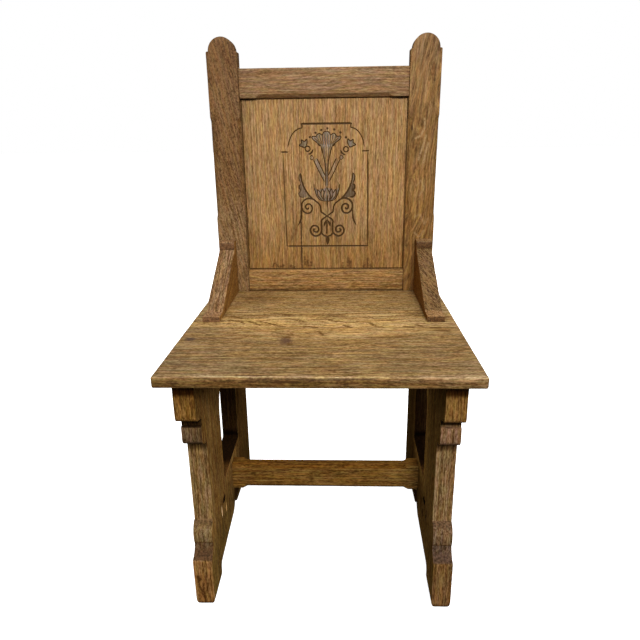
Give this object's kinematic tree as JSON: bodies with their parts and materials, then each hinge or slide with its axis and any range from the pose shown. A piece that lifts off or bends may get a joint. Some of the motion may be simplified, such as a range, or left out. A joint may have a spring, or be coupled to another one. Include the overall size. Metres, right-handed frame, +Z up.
{
  "type": "hall chair",
  "caption": "Oak hall chair with a boarded seat on arched trestle ends joined by a chamfered stretcher, and a panelled upright back between round-headed posts with side brackets.",
  "frame": {"origin": "centre of the chair's plan on the floor", "axes": "+Z up, -Y towards the front of the seat, +X towards the right of a viewer facing the chair"},
  "size_m": [0.47, 0.47, 0.931],
  "materials": {
    "seat_oak": "waxed, worn",
    "trestle_oak": "waxed, worn",
    "frame_oak": "waxed, worn",
    "panel_oak": "waxed, worn",
    "dowel_beech": "bare"
  },
  "bodies": {
    "root": {"bottom_rail": "frame_oak", "left_bracket": "frame_oak", "left_bracket_post_dowel_lower": "dowel_beech", "left_bracket_post_dowel_upper": "dowel_beech", "left_bracket_seat_dowel_front": "dowel_beech", "left_bracket_seat_dowel_rear": "dowel_beech", "left_post": "frame_oak", "left_trestle_end": "trestle_oak", "panel_left_board": "panel_oak", "panel_right_board": "panel_oak", "right_bracket": "frame_oak", "right_bracket_post_dowel_lower": "dowel_beech", "right_bracket_post_dowel_upper": "dowel_beech", "right_bracket_seat_dowel_front": "dowel_beech", "right_bracket_seat_dowel_rear": "dowel_beech", "right_post": "frame_oak", "right_trestle_end": "trestle_oak", "seat_front_board": "seat_oak", "seat_rear_board": "seat_oak", "stretcher": "trestle_oak", "top_rail": "frame_oak"}
  },
  "joints": []
}
